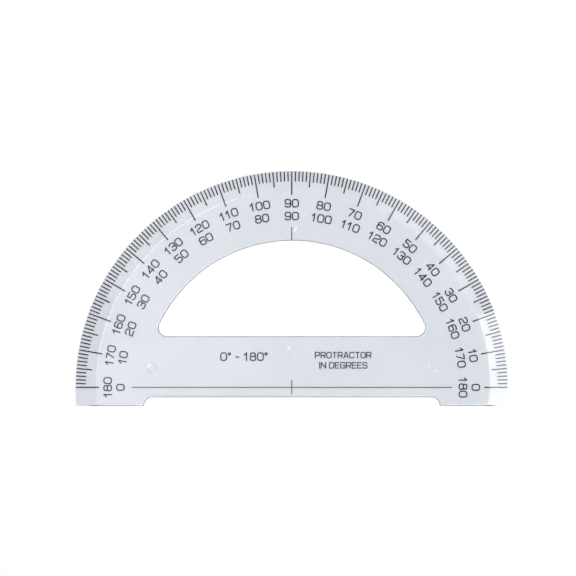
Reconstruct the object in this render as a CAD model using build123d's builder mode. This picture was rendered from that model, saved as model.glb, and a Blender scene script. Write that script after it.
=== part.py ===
from build123d import *

import os

# A clear injection-moulded protractor of half-circle form, 100 mm across, with the degree scale and its
# numbers printed in sunk marks on the underside, so that the print lies against the paper and is read
# through the plate.
#
# Frame: the origin is the vertex, where the base line crosses the 90 degree line, on the underside.
# +X points to 0 degrees on the outer scale, +Y to 90 degrees, +Z up out of the face. Millimetres.

# Plate
RIM_RADIUS = 50.0  # the degree scale ends on this edge
THICKNESS = 1.8
RIM_THICKNESS = 0.6  # what the bevel leaves at the rim
BEVEL_WIDTH = 4.5
FOOT_DROP = 4.25  # the two feet end this far below the base line
RECESS_DEPTH = 2.0  # the straight edge between the feet is set back by this
RECESS_HALF_WIDTH = 34.15
EDGE_ROUND = 0.25  # on the upper edges of the window and of the straight side

# Window
WINDOW_RADIUS = 33.9
WINDOW_FLOOR = 11.8  # height of its straight side above the base line
WINDOW_CORNER = 2.0

# Ejector-pin marks, shallow round dents in the upper face
PIN_MARK_RADIUS = 1.25
PIN_MARK_DEPTH = 0.10
PIN_MARKS = ((-32.3, 4.4), (32.3, 4.4), (0, 8.4), (0, 36.9))

# Print: each mark is a groove in the underside, with ink in its inner part
GROOVE_DEPTH = 0.08
INK_RECESS = 0.02  # the ink stays this far above the paper
TICK_WIDTH = 0.24
LINE_WIDTH = 0.14  # of the base line, its cross and the 90 degree line
TICK_OUTER_RADIUS = 49.85
ONE_DEGREE_INNER_RADIUS = 47.5
FIVE_DEGREE_INNER_RADIUS = 46.25
TEN_DEGREE_INNER_RADIUS = 44.5
FULL_SCALE = 180
NUMBER_STEP = 10  # degrees from one number and its long line to the next
MIDDLE_STEP = 5
OUTER_ROW_RADIUS = 42.55  # the middle of each row of numbers
INNER_ROW_RADIUS = 39.6
BASE_LINE_HALF_LENGTH = 37.0
CENTRE_MARK_HALF_LENGTH = 1.6
NINETY_MARK_INNER_RADIUS = 34.1
NINETY_MARK_OUTER_RADIUS = 37.05

# Lettering, drawn with one pen along the centre lines of the characters
PEN = 0.23
CHARACTER_HEIGHT = 1.72  # between centre lines, so 1.95 over the ink
CHARACTER_WIDTH = 1.34
CHARACTER_GAP = 0.42  # between the centre lines of neighbouring characters
RANGE_LEGEND = "0° - 180°"
RANGE_LEGEND_CENTRE = (-11.05, 7.1)
NAME_LEGEND = "PROTRACTOR"
UNIT_LEGEND = "IN DEGREES"
SMALL_LETTERING = 0.76  # the size of these two lines against the other lettering
NAME_LEGEND_CENTRE = (11.9, 7.45)
UNIT_LEGEND_CENTRE = (11.9, 5.1)

SPACE_WIDTH = 0.25  # as a share of CHARACTER_WIDTH, besides the gap on each side
HEAD = 1 + PEN / 2 / CHARACTER_HEIGHT  # where an upright stroke has to end to reach the top of the ink
FOOT = -PEN / 2 / CHARACTER_HEIGHT  # and the bottom


def loop(left, low, right, high, corner):
    """A closed stroke round a box with all four corners rounded alike."""
    return [
        (left, low, corner),
        (right, low, corner),
        (right, high, corner),
        (left, high, corner),
        (left, low, corner),
    ]


# Each character's width as a share of CHARACTER_WIDTH, and its strokes. Each point of a stroke is x as a
# share of the character's width, y as a share of its height, and the radius of the corner there as a
# share of the height, 0 where the corner is sharp.
LETTERING = {
    "0": (1.0, [loop(0, 0, 1, 1, 0.29)]),
    "1": (0.75, [[(0.56, FOOT, 0), (0.56, HEAD, 0)], [(0, 0.65, 0), (0.53, 0.97, 0)]]),
    "2": (
        0.93,
        [
            [(0, 0.74, 0), (0, 1, 0.22), (1, 1, 0.22), (1, 0.56, 0.2), (0, 0.38, 0.2), (0, FOOT, 0)],
            [(0, 0, 0), (1, 0, 0)],
        ],
    ),
    "3": (
        0.93,
        [
            [(0, 0.76, 0), (0, 1, 0.22), (1, 1, 0.22), (1, 0.52, 0.2), (0.3, 0.52, 0)],
            [(0.5, 0.52, 0), (1, 0.52, 0.2), (1, 0, 0.22), (0, 0, 0.22), (0, 0.24, 0)],
        ],
    ),
    "4": (1.05, [[(0.76, FOOT, 0), (0.76, HEAD, 0)], [(0.73, 0.98, 0), (0.04, 0.26, 0), (1, 0.26, 0)]]),
    "5": (
        0.93,
        [
            [(0.94, 1, 0), (0, 1, 0), (0, 0.58, 0), (0.5, 0.58, 0)],
            [(0.3, 0.58, 0), (1, 0.58, 0.24), (1, 0, 0.24), (0, 0, 0.22), (0, 0.24, 0)],
        ],
    ),
    "6": (0.95, [[(1, 0.78, 0), (1, 1, 0.2), (0, 1, 0.26), (0, 0.3, 0)], loop(0, 0, 1, 0.58, 0.25)]),
    "7": (0.93, [[(0, 1, 0), (0.96, 1, 0), (0.3, -0.02, 0)]]),
    "8": (0.95, [loop(0, 0, 1, 0.53, 0.24), loop(0.05, 0.53, 0.95, 1, 0.22)]),
    "9": (0.95, [[(0, 0.22, 0), (0, 0, 0.2), (1, 0, 0.26), (1, 0.7, 0)], loop(0, 0.42, 1, 1, 0.25)]),
    "°": (0.34, [loop(0, 0.73, 1, 1, 0.12)]),
    "-": (0.6, [[(0, 0.45, 0), (1, 0.45, 0)]]),
    "A": (
        1.0,
        [[(0, FOOT, 0), (0.42, 1, 0), (0.58, 1, 0), (1, FOOT, 0)], [(0.2, 0.32, 0), (0.8, 0.32, 0)]],
    ),
    "C": (1.0, [[(1, 0.76, 0), (1, 1, 0.2), (0, 1, 0.26), (0, 0, 0.26), (1, 0, 0.2), (1, 0.24, 0)]]),
    "D": (1.0, [[(0, 0, 0), (1, 0, 0.3), (1, 1, 0.3), (0, 1, 0), (0, 0, 0)]]),
    "E": (0.9, [[(1, 0, 0), (0, 0, 0), (0, 1, 0), (1, 1, 0)], [(0, 0.52, 0), (0.9, 0.52, 0)]]),
    "G": (
        1.0,
        [
            [(1, 0.78, 0), (1, 1, 0.2), (0, 1, 0.26), (0, 0.3, 0)],
            [(0, 0.5, 0), (0, 0, 0.26), (1, 0, 0.2), (1, 0.47, 0), (0.5, 0.47, 0)],
        ],
    ),
    "I": (0.1, [[(0.5, FOOT, 0), (0.5, HEAD, 0)]]),
    "N": (
        1.0,
        [
            [(0, FOOT, 0), (0, HEAD, 0)],
            [(1, FOOT, 0), (1, HEAD, 0)],
            [(0.03, 0.96, 0), (0.97, 0.04, 0)],
        ],
    ),
    "O": (1.0, [loop(0, 0, 1, 1, 0.29)]),
    "P": (0.98, [[(0, FOOT, 0), (0, 1, 0), (1, 1, 0.24), (1, 0.42, 0.24), (0, 0.42, 0)]]),
    "R": (
        0.98,
        [
            [(0, FOOT, 0), (0, 1, 0), (1, 1, 0.24), (1, 0.44, 0.24), (0, 0.44, 0)],
            [(0.62, 0.44, 0), (0.97, -0.02, 0)],
        ],
    ),
    "S": (
        0.95,
        [
            [(1, 0.78, 0), (1, 1, 0.2), (0, 1, 0.22), (0, 0.52, 0.22), (0.6, 0.52, 0)],
            [(0.4, 0.52, 0), (1, 0.52, 0.22), (1, 0, 0.22), (0, 0, 0.2), (0, 0.22, 0)],
        ],
    ),
    "T": (0.95, [[(0, 1, 0), (1, 1, 0)], [(0.5, FOOT, 0), (0.5, 1, 0)]]),
}


def character(mark):
    """The inked outline of one character, its lower left centre-line corner at the origin."""
    share, strokes = LETTERING[mark]
    with BuildSketch() as outline:
        for stroke in strokes:
            closed = stroke[0] == stroke[-1]
            turns = stroke[:-1] if closed else stroke[1:-1]
            places = [(x * share * CHARACTER_WIDTH, y * CHARACTER_HEIGHT) for x, y, _ in stroke]
            with BuildLine():
                if turns:
                    FilletPolyline(*places, radius=[turn * CHARACTER_HEIGHT for _, _, turn in turns])
                else:
                    Polyline(*places)
            trace(line_width=PEN)
    return outline.sketch


CHARACTERS = {mark: character(mark) for mark in LETTERING}


def word(text):
    """The outlines of a whole legend, centred on the origin and read along +X."""
    starts, end = [], 0.0
    for mark in text:
        starts.append(end)
        share = SPACE_WIDTH if mark == " " else LETTERING[mark][0]
        end += share * CHARACTER_WIDTH + CHARACTER_GAP
    width = end - CHARACTER_GAP
    with BuildSketch() as outline:
        for mark, start in zip(text, starts):
            if mark != " ":
                with Locations((start - width / 2, -CHARACTER_HEIGHT / 2)):
                    add(CHARACTERS[mark])
    return outline.sketch


def radial_lines(angles, inner_radius):
    """Outlines of the scale's lines at these angles, from the inner radius to the rim."""
    middle = (inner_radius + TICK_OUTER_RADIUS) / 2
    with BuildSketch() as outline:
        for angle in angles:
            with PolarLocations(middle, 1, start_angle=angle):
                Rectangle(TICK_OUTER_RADIUS - inner_radius, TICK_WIDTH)
    return outline.sketch


def number_row(radius, number_at):
    """Outlines of the numbers on one circle, with their tops pointing away from the vertex."""
    words = [(angle, word(str(number_at(angle)))) for angle in range(0, FULL_SCALE + 1, NUMBER_STEP)]
    with BuildSketch() as outline:
        for angle, number in words:
            with PolarLocations(radius, 1, start_angle=angle):
                add(number, rotation=-90)
    return outline.sketch


def base_cross():
    """Outline of the base line and the short mark that crosses it at the vertex."""
    with BuildSketch() as outline:
        Rectangle(2 * BASE_LINE_HALF_LENGTH, LINE_WIDTH)
        Rectangle(LINE_WIDTH, 2 * CENTRE_MARK_HALF_LENGTH)
    return outline.sketch


def ninety_line():
    """Outline of the short line between the window and the numbers at 90 degrees."""
    length = NINETY_MARK_OUTER_RADIUS - NINETY_MARK_INNER_RADIUS
    with BuildSketch() as outline:
        with Locations((0, NINETY_MARK_INNER_RADIUS + length / 2)):
            Rectangle(LINE_WIDTH, length)
    return outline.sketch


def legend(text, centre, size=1.0):
    """Outlines of a legend on the bar, centred on this point."""
    letters = scale(word(text), by=size)
    with BuildSketch() as outline:
        with Locations(centre):
            add(letters)
    return outline.sketch


one_degree_angles = [angle for angle in range(FULL_SCALE) if angle % MIDDLE_STEP]
five_degree_angles = range(MIDDLE_STEP, FULL_SCALE, NUMBER_STEP)
ten_degree_angles = range(0, FULL_SCALE + 1, NUMBER_STEP)
outlines = {
    "one_degree_ticks": radial_lines(one_degree_angles, ONE_DEGREE_INNER_RADIUS),
    "five_degree_ticks": radial_lines(five_degree_angles, FIVE_DEGREE_INNER_RADIUS),
    "ten_degree_ticks": radial_lines(ten_degree_angles, TEN_DEGREE_INNER_RADIUS),
    "outer_numbers": number_row(OUTER_ROW_RADIUS, lambda angle: angle),
    "inner_numbers": number_row(INNER_ROW_RADIUS, lambda angle: FULL_SCALE - angle),
    "base_line": base_cross(),
    "ninety_degree_line": ninety_line(),
    "range_legend": legend(RANGE_LEGEND, RANGE_LEGEND_CENTRE),
    "name_legend": legend(NAME_LEGEND, NAME_LEGEND_CENTRE, SMALL_LETTERING),
    "unit_legend": legend(UNIT_LEGEND, UNIT_LEGEND_CENTRE, SMALL_LETTERING),
}

os.makedirs("parts", exist_ok=True)

# Ink, which fills the inner part of each groove
for name, outline in outlines.items():
    with BuildPart() as ink:
        with BuildSketch(Plane.XY.offset(INK_RECESS)):
            add(outline)
        extrude(amount=GROOVE_DEPTH - INK_RECESS)
    ink.part.label = name
    export_step(ink.part, f"parts/{name}.step")

# Plate
ridge_radius = RIM_RADIUS - BEVEL_WIDTH
with BuildPart() as plate:
    with BuildSketch(Plane.XZ):
        with BuildLine():
            Polyline(
                (0, 0),
                (RIM_RADIUS, 0),
                (RIM_RADIUS, RIM_THICKNESS),
                (ridge_radius, THICKNESS),
                (0, THICKNESS),
                close=True,
            )
        make_face()
    revolve(axis=Axis.Z)
    split(bisect_by=Plane.XZ.offset(FOOT_DROP), keep=Keep.BOTTOM)

    # the straight edge between the feet, set back from them with rounded corners
    with BuildSketch():
        with Locations((0, -FOOT_DROP)):
            Rectangle(2 * RECESS_HALF_WIDTH, 2 * RECESS_DEPTH)
        fillet(vertices().group_by(Axis.Y)[-1], RECESS_DEPTH)
    extrude(amount=THICKNESS, mode=Mode.SUBTRACT)

    # the window
    with BuildSketch():
        Circle(WINDOW_RADIUS)
        with Locations((0, WINDOW_FLOOR + WINDOW_RADIUS / 2)):
            Rectangle(2 * WINDOW_RADIUS, WINDOW_RADIUS, mode=Mode.INTERSECT)
        fillet(vertices(), WINDOW_CORNER)
    extrude(amount=THICKNESS, mode=Mode.SUBTRACT)

    # the eased upper edges, all round the window and along the feet and the edge between them
    upper_edges = faces().filter_by(Axis.Z).sort_by(Axis.Z)[-1].edges()
    ridge = upper_edges.sort_by(SortBy.LENGTH)[-1]
    fillet([edge for edge in upper_edges if edge != ridge], EDGE_ROUND)

    # the dents left by the ejector pins
    with BuildSketch(Plane.XY.offset(THICKNESS)):
        with Locations(*PIN_MARKS):
            Circle(PIN_MARK_RADIUS)
    extrude(amount=-PIN_MARK_DEPTH, mode=Mode.SUBTRACT)

    # the grooves for the print
    with BuildSketch():
        for outline in outlines.values():
            add(outline)
    extrude(amount=GROOVE_DEPTH, mode=Mode.SUBTRACT)
plate.part.label = "plate"
export_step(plate.part, "parts/plate.step")
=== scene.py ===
import math

import bpy
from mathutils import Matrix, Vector
from mathutils.geometry import delaunay_2d_cdt


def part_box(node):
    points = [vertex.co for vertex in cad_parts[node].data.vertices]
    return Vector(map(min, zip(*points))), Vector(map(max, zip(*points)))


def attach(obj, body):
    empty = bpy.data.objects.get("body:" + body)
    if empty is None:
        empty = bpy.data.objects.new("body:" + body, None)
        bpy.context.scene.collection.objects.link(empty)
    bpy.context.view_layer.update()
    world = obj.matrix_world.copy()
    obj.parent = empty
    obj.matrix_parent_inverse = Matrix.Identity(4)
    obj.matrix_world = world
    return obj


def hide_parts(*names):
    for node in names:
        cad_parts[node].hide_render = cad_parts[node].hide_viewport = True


# The clear moulded plate is rebuilt here as a smooth mesh with eased edges, a rolled bevel ridge and
# ejector-pin dents, and laid on a white table under soft studio lights. The ink keeps its own CAD solids.
# All lengths are in metres, in the frame of the CAD model.

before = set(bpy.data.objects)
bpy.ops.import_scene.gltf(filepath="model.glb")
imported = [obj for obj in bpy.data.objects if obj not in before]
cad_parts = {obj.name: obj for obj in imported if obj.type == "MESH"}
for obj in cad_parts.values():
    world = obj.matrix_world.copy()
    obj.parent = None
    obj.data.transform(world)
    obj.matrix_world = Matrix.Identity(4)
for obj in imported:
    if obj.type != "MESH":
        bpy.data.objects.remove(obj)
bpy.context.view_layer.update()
MM = 0.001

# ---------------------------------------------------------------- sizes

plate_low, plate_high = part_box("plate")
RIM_RADIUS = plate_high[0]
THICKNESS = plate_high[2]
FOOT_LINE = plate_low[1]
BEVEL_WIDTH = 4.5 * MM
RIM_THICKNESS = 0.6 * MM
RECESS_DEPTH = 2.0 * MM
RECESS_HALF_WIDTH = 34.15 * MM
WINDOW_RADIUS = 33.9 * MM
WINDOW_FLOOR = 11.8 * MM
WINDOW_CORNER = 2.0 * MM
EASE_WIDTH = 0.6 * MM  # the upper edges of the window and the straight side fall away over this width
EASE_DEPTH = 0.25 * MM
RIDGE_ROLL = 0.5 * MM  # the bevel runs into the flat face over this width on each side of the ridge
PIN_RADIUS = 1.3 * MM
PIN_WALL = 0.66 * MM
# Middle and depth of each ejector-pin dent; some are fainter than others
PIN_MARKS = [
    (x * MM, y * MM, depth * MM)
    for x, y, depth in ((-32.3, 4.4, 0.10), (32.3, 4.4, 0.065), (0, 8.4, 0.09), (0, 36.9, 0.05))
]

BEVEL_SLOPE = (THICKNESS - RIM_THICKNESS) / BEVEL_WIDTH
RIDGE_RADIUS = RIM_RADIUS - BEVEL_WIDTH

# How finely the mesh is divided
ARC_STEP = math.radians(0.5)
STRAIGHT_STEP = 2.0 * MM
SMALL_ARC_STEPS = 16
EDGE_STEPS = 8
RIDGE_STEPS = 8
PIN_STEPS = 4
PIN_SIDES = 64
BEVEL_SHARES = (0.3, 0.55, 0.8)  # circles on the flat of the bevel, as shares of its width
CIRCLE_END_GAP = 0.3 * MM  # the circles over the plate end this far above the feet's ends
NORMAL_REACH = 0.01 * MM  # the slope is measured over this distance to each side
SAME_POINT = 1e-9
SMOOTH_COSINE = 0.8  # walls that meet share a normal when the cosine of their turn is above this

GAP_UNDER = 0.02 * MM  # between the plate and the table


# ---------------------------------------------------------------- shape of the plate


def arc(centre, radius, start, end, steps):
    """Points of an arc, both ends included, angles in radians."""
    turns = [start + (end - start) * i / steps for i in range(steps + 1)]
    return [(centre[0] + radius * math.cos(t), centre[1] + radius * math.sin(t)) for t in turns]


def straight_run(start, end):
    """Points along a straight line without its two ends."""
    count = max(1, round(math.dist(start, end) / STRAIGHT_STEP))
    return [
        (start[0] + (end[0] - start[0]) * i / count, start[1] + (end[1] - start[1]) * i / count)
        for i in range(1, count)
    ]


def window_outline(inset):
    """The window's closed outline, moved into the plastic by inset."""
    radius = WINDOW_RADIUS + inset
    floor = WINDOW_FLOOR - inset
    corner = WINDOW_CORNER + inset
    corner_y = floor + corner
    corner_x = math.sqrt((radius - corner) ** 2 - corner_y**2)
    meet = math.atan2(corner_y, corner_x)
    top_steps = round((math.pi - 2 * meet) / ARC_STEP)
    top = arc((0, 0), radius, meet, math.pi - meet, top_steps)
    left = arc((-corner_x, corner_y), corner, math.pi - meet, 1.5 * math.pi, SMALL_ARC_STEPS)
    right = arc((corner_x, corner_y), corner, -0.5 * math.pi, meet, SMALL_ARC_STEPS)
    floor_run = straight_run(left[-1], right[0])
    return top + left[1:] + floor_run + right[:-1]


def straight_side(inset, radius):
    """The lower side of the plate from its left end to its right end, moved into the plastic by inset.

    The ends lie on the circle of this radius, about the vertex."""
    foot = FOOT_LINE + inset
    corner = RECESS_DEPTH + inset
    corner_x = RECESS_HALF_WIDTH - RECESS_DEPTH
    end_x = math.sqrt(radius**2 - foot**2)
    inner_turn = math.asin(inset / corner)
    right_arc = arc((corner_x, FOOT_LINE), corner, math.pi / 2, inner_turn, SMALL_ARC_STEPS)
    left_arc = [(-x, y) for x, y in reversed(right_arc)]
    left_foot = straight_run((-end_x, foot), left_arc[0])
    middle = straight_run(left_arc[-1], right_arc[0])
    right_foot = straight_run(right_arc[-1], (end_x, foot))
    return [(-end_x, foot)] + left_foot + left_arc + middle + right_arc + right_foot + [(end_x, foot)]


def circle_over_feet(radius, inset=0.0):
    """Points of the circle of this radius from the right foot over the top to the left foot."""
    low = math.asin((FOOT_LINE + inset) / radius)
    return arc((0, 0), radius, low, math.pi - low, round((math.pi - 2 * low) / ARC_STEP))


def distance_to_window(x, y):
    """How far a point of the plate is from the window's wall."""
    corner_y = WINDOW_FLOOR + WINDOW_CORNER
    corner_x = math.sqrt((WINDOW_RADIUS - WINDOW_CORNER) ** 2 - corner_y**2)
    side = abs(x)
    if side > corner_x and y < corner_y * side / corner_x:
        return math.hypot(side - corner_x, y - corner_y) - WINDOW_CORNER
    if y < corner_y:
        return WINDOW_FLOOR - y
    return math.hypot(x, y) - WINDOW_RADIUS


def distance_to_straight_side(x, y):
    """How far a point of the plate is from the feet's ends or the edge between them."""
    past_corner = max(0.0, abs(x) - (RECESS_HALF_WIDTH - RECESS_DEPTH))
    above_foot = y - FOOT_LINE
    to_recess = math.hypot(past_corner, above_foot) - RECESS_DEPTH
    return min(to_recess, above_foot) if past_corner > RECESS_DEPTH else to_recess


def eased(distance):
    """Drop of the upper face at this distance from an eased edge, along a quarter of an ellipse."""
    if distance >= EASE_WIDTH:
        return 0.0
    share = 1 - max(distance, 0.0) / EASE_WIDTH
    return EASE_DEPTH * (1 - math.sqrt(1 - share**2))


def bevel_drop(radius):
    """Drop of the upper face at this distance from the vertex, with the ridge rolled over."""
    past = radius - RIDGE_RADIUS
    if past <= -RIDGE_ROLL:
        return 0.0
    if past >= RIDGE_ROLL:
        return BEVEL_SLOPE * past
    return BEVEL_SLOPE * (past + RIDGE_ROLL) ** 2 / (4 * RIDGE_ROLL)


def pin_drop(x, y):
    """Drop of the upper face in the ejector-pin dents."""
    for px, py, depth in PIN_MARKS:
        past = math.hypot(x - px, y - py) - PIN_RADIUS
        if past <= -PIN_WALL:
            return depth
        if past < 0:
            share = -past / PIN_WALL
            return depth * share * share * (3 - 2 * share)
    return 0.0


def top_height(x, y):
    """Height of the upper face over the table side of the plate."""
    edge = min(distance_to_window(x, y), distance_to_straight_side(x, y))
    drop = max(eased(edge), bevel_drop(math.hypot(x, y)))
    return THICKNESS - drop - pin_drop(x, y)


def top_normal(x, y):
    """The upper face's normal, from its slope."""
    reach = NORMAL_REACH
    slope_x = (top_height(x + reach, y) - top_height(x - reach, y)) / (2 * reach)
    slope_y = (top_height(x, y + reach) - top_height(x, y - reach)) / (2 * reach)
    return Vector((-slope_x, -slope_y, 1)).normalized()


def rim_outline():
    """The plate's closed outer outline: over the top, then back along the straight side."""
    return circle_over_feet(RIM_RADIUS) + straight_side(0.0, RIM_RADIUS)[1:-1]


def inside(point, outline):
    """Whether a point lies inside a closed outline."""
    x, y = point
    odd = False
    for (ax, ay), (bx, by) in zip(outline, outline[1:] + outline[:1]):
        if (ay > y) != (by > y) and x < ax + (y - ay) * (bx - ax) / (by - ay):
            odd = not odd
    return odd


def face_triangles(outer, inner, rings, open_lines):
    """Triangles that fill the space between the outer and the inner outline and follow every given line."""
    points, edges = [], []

    def lay(line, closed):
        first = len(points)
        points.extend(Vector(p) for p in line)
        edges.extend((first + i, first + i + 1) for i in range(len(line) - 1))
        if closed:
            edges.append((len(points) - 1, first))

    lay(outer, True)
    lay(inner, True)
    for line in rings:
        lay(line, True)
    for line in open_lines:
        lay(line, False)
    flat, _, triangles, *_ = delaunay_2d_cdt(points, edges, [], 0, SAME_POINT)
    kept = []
    for triangle in triangles:
        middle = sum((flat[i] for i in triangle), Vector((0, 0))) / len(triangle)
        if inside(middle, outer) and not inside(middle, inner):
            kept.append(triangle)
    return flat, kept


def guide_lines():
    """The closed rings and open lines that the upper face's triangles follow, where it is curved."""
    turns = [math.pi / 2 * (i + 1) / EDGE_STEPS for i in range(EDGE_STEPS)]
    edge_insets = [EASE_WIDTH * (1 - math.cos(turn)) for turn in turns]
    rings = [window_outline(inset) for inset in edge_insets]
    for x, y, _ in PIN_MARKS:
        for i in range(PIN_STEPS + 1):
            radius = PIN_RADIUS - i / PIN_STEPS * PIN_WALL
            rings.append(arc((x, y), radius, 0, 2 * math.pi, PIN_SIDES)[:-1])

    fully_eased = RIDGE_RADIUS + EASE_DEPTH / BEVEL_SLOPE  # from here on the bevel is lower than the easing
    open_lines = [straight_side(inset, fully_eased)[1:-1] for inset in edge_insets]
    for i in range(RIDGE_STEPS + 1):
        past = RIDGE_ROLL * (2 * i / RIDGE_STEPS - 1)
        open_lines.append(circle_over_feet(RIDGE_RADIUS + past, CIRCLE_END_GAP))
    for share in BEVEL_SHARES:
        open_lines.append(circle_over_feet(RIM_RADIUS - BEVEL_WIDTH * (1 - share), CIRCLE_END_GAP))
    return rings, open_lines


def boundary(triangles):
    """The sides that only one triangle has, each in the direction of its triangle."""
    sides = {(t[i], t[(i + 1) % 3]) for t in triangles for i in range(3)}
    return [side for t in triangles for side in zip(t, t[1:] + t[:1]) if side[::-1] not in sides]


def outward_normal(start, end):
    """The level normal of the wall below one side of the upper face."""
    along = end - start
    return Vector((along.y, -along.x)).normalized()


def wall_faces(spots, walls):
    """The upright faces below the boundary, with normals that run smoothly round the curves."""
    below = len(spots)
    outward = {}
    for a, b in walls:
        for end in (a, b):
            outward.setdefault(end, []).append(outward_normal(spots[a], spots[b]))
    faces, normals = [], []
    for a, b in walls:
        own = outward_normal(spots[a], spots[b])
        faces.append((b, a, a + below, b + below))
        for end in (b, a, a, b):
            near = [normal for normal in outward[end] if normal.dot(own) > SMOOTH_COSINE]
            mean = sum(near, Vector((0, 0))).normalized()
            normals.append(Vector((mean.x, mean.y, 0)))
    return faces, normals


def plate_mesh():
    """The plate as one closed mesh, with normals that follow its curves."""
    flat, kept = face_triangles(rim_outline(), window_outline(0.0), *guide_lines())
    used = sorted({i for triangle in kept for i in triangle})
    place = {old: new for new, old in enumerate(used)}
    triangles = [tuple(place[i] for i in triangle) for triangle in kept]
    spots = [flat[i] for i in used]
    below = len(spots)
    upper = [(p.x, p.y, top_height(p.x, p.y)) for p in spots]
    lower = [(p.x, p.y, 0.0) for p in spots]

    faces, normals = [], []
    for a, b, c in triangles:
        faces.append((a, b, c))
        normals.extend(top_normal(*spots[i]) for i in (a, b, c))
        faces.append((a + below, c + below, b + below))
        normals.extend([Vector((0, 0, -1))] * 3)
    walls, wall_normals = wall_faces(spots, boundary(triangles))
    faces.extend(walls)
    normals.extend(wall_normals)

    mesh = bpy.data.meshes.new("plate_body")
    mesh.from_pydata(upper + lower, [], faces)
    mesh.polygons.foreach_set("use_smooth", [True] * len(mesh.polygons))
    mesh.normals_split_custom_set([tuple(normal) for normal in normals])
    mesh.validate()
    mesh.update()
    return mesh


# ---------------------------------------------------------------- materials

# Clear plastic. Its colour follows a coarse noise, and its gloss does too.
FLOW_SCALE, FLOW_DETAIL = 60.0, 3.0
TINTS = (0.35, (0.775, 0.805, 0.848)), (0.65, (0.815, 0.845, 0.884))
ROUGHNESS_LEAST, ROUGHNESS_MOST = 0.03, 0.07
RIPPLE_SCALE, RIPPLE_DETAIL = 140.0, 2.0
RIPPLE_STRENGTH = 0.04
RIPPLE_DEPTH = 0.05 * MM
POLYSTYRENE_IOR = 1.57
# What the colour is multiplied by, against how level the surface lies: 0 for a wall, 1 for a flat face.
# The eased edges, which lie between the two, get dark lines of painted shade.
PAINTED_EDGE_SHADES = (
    (0.15, (0.92, 0.94, 0.96)),
    (0.35, (0.02, 0.02, 0.02)),
    (0.82, (0.02, 0.02, 0.02)),
    (0.955, (1.0, 1.0, 1.0)),
)
PASSED_LIGHT = (0.96, 0.965, 0.975)  # the share of straight light that each surface lets through
LAST_BOUNCE = 5  # light that is still caught inside the plate after this many bounces gets out

# Black ink
COVER_SCALE, COVER_DETAIL = 2500.0, 3.0
INK_SHADES = (0.3, (0.002, 0.002, 0.003)), (0.75, (0.010, 0.010, 0.014))
INK_ROUGHNESS = 0.6
INK_SPECULAR = 0.2

# White table
GRAIN_SCALE, GRAIN_DETAIL = 8.0, 2.0
TABLE_SHADES = (0.0, (0.90, 0.90, 0.90)), (1.0, (0.92, 0.92, 0.92))
TABLE_ROUGHNESS = 0.9


def new_material(name):
    """A material with nothing but an output node."""
    material = bpy.data.materials.new(name)
    material.use_nodes = True
    tree = material.node_tree
    tree.nodes.clear()
    return material, tree, tree.nodes.new("ShaderNodeOutputMaterial")


def noise(tree, scale, detail):
    """A noise texture in the object's own coordinates."""
    place = tree.nodes.new("ShaderNodeTexCoord")
    texture = tree.nodes.new("ShaderNodeTexNoise")
    texture.inputs["Scale"].default_value = scale
    texture.inputs["Detail"].default_value = detail
    tree.links.new(place.outputs["Object"], texture.inputs["Vector"])
    return texture.outputs["Fac"]


def ramp(tree, value, stops):
    """A colour that follows value; each stop is a position and a colour."""
    node = tree.nodes.new("ShaderNodeValToRGB")
    elements = node.color_ramp.elements
    for element, (position, colour) in zip(elements, (stops[0], stops[-1])):
        element.position, element.color = position, (*colour, 1)
    for position, colour in stops[1:-1]:
        elements.new(position).color = (*colour, 1)
    tree.links.new(value, node.inputs["Fac"])
    return node.outputs["Color"]


def blended(tree, blend_type, under, over):
    """Two colours multiplied or added."""
    node = tree.nodes.new("ShaderNodeMix")
    node.data_type = "RGBA"
    node.blend_type = blend_type
    node.inputs["Factor"].default_value = 1.0
    tree.links.new(under, node.inputs["A"])
    tree.links.new(over, node.inputs["B"])
    return node.outputs["Result"]


def calculated(tree, operation, *values):
    """A Math node that works on these values."""
    node = tree.nodes.new("ShaderNodeMath")
    node.operation = operation
    for value, socket in zip(values, node.inputs):
        tree.links.new(value, socket)
    return node


def tint_and_painted_edge_shade(tree, flow):
    """The tint, with painted shade darkening the eased edges."""
    surface = tree.nodes.new("ShaderNodeNewGeometry")
    split = tree.nodes.new("ShaderNodeSeparateXYZ")
    tree.links.new(surface.outputs["Normal"], split.inputs["Vector"])
    level = calculated(tree, "ABSOLUTE", split.outputs["Z"])
    # painted shade: the colour goes dark where the surface leans, which draws dark lines along the eased
    # edges
    shade = ramp(tree, level.outputs["Value"], PAINTED_EDGE_SHADES)
    return blended(tree, "MULTIPLY", ramp(tree, flow, TINTS), shade)


def ripple(tree):
    """The slight waviness of the moulded surface."""
    bump = tree.nodes.new("ShaderNodeBump")
    bump.inputs["Strength"].default_value = RIPPLE_STRENGTH
    bump.inputs["Distance"].default_value = RIPPLE_DEPTH
    tree.links.new(noise(tree, RIPPLE_SCALE, RIPPLE_DETAIL), bump.inputs["Height"])
    return bump.outputs["Normal"]


def unbent(tree):
    """1 for rays that go straight through: to a lamp, off the table or the ink, or caught in the plate."""
    light_path = tree.nodes.new("ShaderNodeLightPath")
    rays = light_path.outputs
    lamp_ray = calculated(tree, "MAXIMUM", rays["Is Shadow Ray"], rays["Is Diffuse Ray"])
    caught = calculated(tree, "GREATER_THAN", rays["Ray Depth"])
    caught.inputs[1].default_value = LAST_BOUNCE
    return calculated(tree, "MAXIMUM", lamp_ray.outputs["Value"], caught.outputs["Value"]).outputs["Value"]


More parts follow.
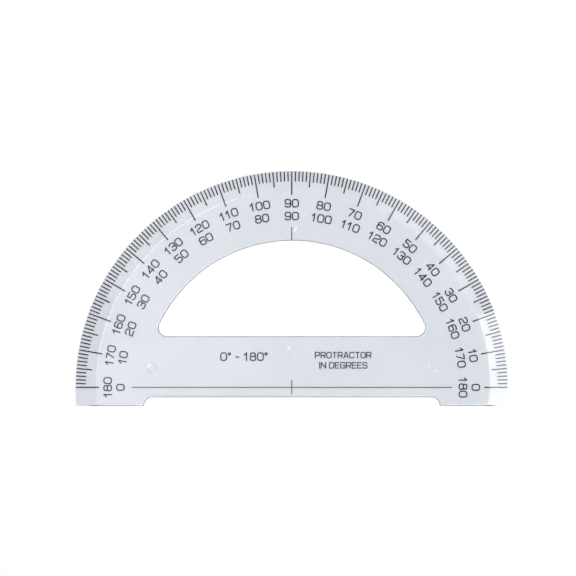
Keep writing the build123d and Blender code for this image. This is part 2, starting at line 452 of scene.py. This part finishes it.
def clear_plastic():
    """Clear, faintly blue moulded polystyrene with the slight unevenness of a moulded surface, and painted
    shade along its eased edges.
    """
    material, tree, output = new_material("clear_polystyrene")
    flow = noise(tree, FLOW_SCALE, FLOW_DETAIL)
    rough = tree.nodes.new("ShaderNodeMapRange")
    rough.inputs["To Min"].default_value = ROUGHNESS_LEAST
    rough.inputs["To Max"].default_value = ROUGHNESS_MOST
    tree.links.new(flow, rough.inputs["Value"])

    plastic = tree.nodes.new("ShaderNodeBsdfPrincipled")
    plastic.inputs["Transmission Weight"].default_value = 1.0
    plastic.inputs["IOR"].default_value = POLYSTYRENE_IOR
    tree.links.new(tint_and_painted_edge_shade(tree, flow), plastic.inputs["Base Color"])
    tree.links.new(rough.outputs["Result"], plastic.inputs["Roughness"])
    tree.links.new(ripple(tree), plastic.inputs["Normal"])

    passing = tree.nodes.new("ShaderNodeBsdfTransparent")
    passing.inputs["Color"].default_value = (*PASSED_LIGHT, 1)
    mix = tree.nodes.new("ShaderNodeMixShader")
    tree.links.new(unbent(tree), mix.inputs["Fac"])
    tree.links.new(plastic.outputs["BSDF"], mix.inputs[1])
    tree.links.new(passing.outputs["BSDF"], mix.inputs[2])
    tree.links.new(mix.outputs["Shader"], output.inputs["Surface"])
    return material


def matt(name, texture, shades, roughness, specular):
    """A matt material whose colour follows a noise texture of this scale and detail."""
    material, tree, output = new_material(name)
    paint = tree.nodes.new("ShaderNodeBsdfPrincipled")
    paint.inputs["Roughness"].default_value = roughness
    paint.inputs["Specular IOR Level"].default_value = specular
    tree.links.new(ramp(tree, noise(tree, *texture), shades), paint.inputs["Base Color"])
    tree.links.new(paint.outputs["BSDF"], output.inputs["Surface"])
    return material


# ---------------------------------------------------------------- studio

TABLE_HALF_WIDTH = 3.0
LAMP_AIM = Vector((0, 0.02, 0))
# Each lamp's azimuth, from +X to +Y, and angle from the vertical in degrees, its distance, width and height
# in metres, and its power in watts
SOFTBOXES = {
    "key": (-9, 36.5, 1.2, 0.60, 0.28, 2.38),  # glares in the bevel by the right foot
    "ridge_light": (146, 12, 1.2, 0.38, 0.16, 0.68),  # draws the bright line along the ridge on the left
    "edge_light": (312, 24, 1.2, 0.70, 0.22, 2.3),  # glints in the ejector-pin dents
    "fill_right": (8, 56, 1.2, 0.8, 0.45, 4.4),
    "fill_back": (75, 56, 1.4, 0.9, 0.5, 5.25),
}
# The sky's brightness against the height of the direction: 0 for the horizon, 1 for straight overhead
SKY_SHADES = (0.45, (0.9, 0.9, 0.9)), (0.85, (0.1, 0.1, 0.1))
# Direction, radius and strength of the soft bright patches overhead. The flat face mirrors the first,
# and the bevel the other two.
SKY_PATCHES = (
    ((-0.085, -0.03, 1), 0.16, 1.0),
    ((0.5, 0.46, 1), 0.36, 1.5),
    ((-0.29, 0.47, 1), 0.42, 0.8),
)
VIEW_WIDTH = 133.3 * MM  # what the picture takes in at z = 0
VIEW_MIDDLE = (-0.88 * MM, 22.96 * MM)
LENS_LENGTH, SENSOR_WIDTH = 150.0, 36.0
CLIP_START = 0.01


def table():
    """The white table that the plate lies on."""
    size = TABLE_HALF_WIDTH
    corners = [(-size, -size), (size, -size), (size, size), (-size, size)]
    mesh = bpy.data.meshes.new("table")
    mesh.from_pydata([(x, y, -GAP_UNDER) for x, y in corners], [], [(0, 1, 2, 3)])
    plane = bpy.data.objects.new("table", mesh)
    bpy.context.collection.objects.link(plane)
    mesh.materials.append(
        matt("table_white", (GRAIN_SCALE, GRAIN_DETAIL), TABLE_SHADES, TABLE_ROUGHNESS, specular=0.0)
    )


def softbox(name, azimuth, from_vertical, distance, width, height, power):
    """A rectangular lamp aimed at the middle of the plate."""
    lamp = bpy.data.lights.new(name, "AREA")
    lamp.shape = "RECTANGLE"
    lamp.size, lamp.size_y = width, height
    lamp.energy = power
    stand = bpy.data.objects.new(name, lamp)
    bpy.context.collection.objects.link(stand)
    turn, lean = math.radians(azimuth), math.radians(from_vertical)
    away = Vector((math.sin(lean) * math.cos(turn), math.sin(lean) * math.sin(turn), math.cos(lean)))
    stand.location = LAMP_AIM + away * distance
    stand.rotation_euler = away.to_track_quat("Z", "Y").to_euler()


def soft_patch(tree, sky, direction, centre, radius, strength):
    """The sky colour with a soft round bright patch about one direction added to it."""
    away = tree.nodes.new("ShaderNodeVectorMath")
    away.operation = "DISTANCE"
    tree.links.new(direction, away.inputs[0])
    away.inputs[1].default_value = Vector(centre).normalized()
    glow = tree.nodes.new("ShaderNodeMapRange")
    glow.interpolation_type = "SMOOTHSTEP"
    glow.inputs["From Min"].default_value = radius
    glow.inputs["From Max"].default_value = 0.0
    glow.inputs["To Max"].default_value = strength
    tree.links.new(away.outputs["Value"], glow.inputs["Value"])
    return blended(tree, "ADD", sky, glow.outputs["Result"])


def surroundings():
    """A room that is dark overhead but for a few soft bright patches, and pale towards the horizon."""
    world = bpy.data.worlds.new("studio")
    bpy.context.scene.world = world
    world.use_nodes = True
    tree = world.node_tree
    direction = tree.nodes.new("ShaderNodeTexCoord").outputs["Generated"]
    split = tree.nodes.new("ShaderNodeSeparateXYZ")
    tree.links.new(direction, split.inputs["Vector"])
    sky = ramp(tree, split.outputs["Z"], SKY_SHADES)
    for centre, radius, strength in SKY_PATCHES:
        sky = soft_patch(tree, sky, direction, centre, radius, strength)
    background = tree.nodes["Background"]
    background.inputs["Strength"].default_value = 1.0
    tree.links.new(sky, background.inputs["Color"])


def camera():
    """Straight above the plate, looking down, with +Y up in the picture."""
    lens = bpy.data.cameras.new("camera")
    lens.lens, lens.sensor_width = LENS_LENGTH, SENSOR_WIDTH
    lens.clip_start = CLIP_START
    holder = bpy.data.objects.new("camera", lens)
    bpy.context.collection.objects.link(holder)
    holder.location = (*VIEW_MIDDLE, VIEW_WIDTH * LENS_LENGTH / SENSOR_WIDTH)
    bpy.context.scene.camera = holder


# ---------------------------------------------------------------- the scene

plate = bpy.data.objects.new("plate_body", plate_mesh())
bpy.context.collection.objects.link(plate)
plate.data.materials.append(clear_plastic())
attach(plate, "root")
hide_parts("plate")

ink = matt("black_ink", (COVER_SCALE, COVER_DETAIL), INK_SHADES, INK_ROUGHNESS, INK_SPECULAR)
for name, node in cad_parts.items():
    if name != "plate":
        node.data.materials.clear()
        node.data.materials.append(ink)

table()
surroundings()
for name, settings in SOFTBOXES.items():
    softbox(name, *settings)
bpy.context.scene.view_settings.view_transform = "Standard"
camera()
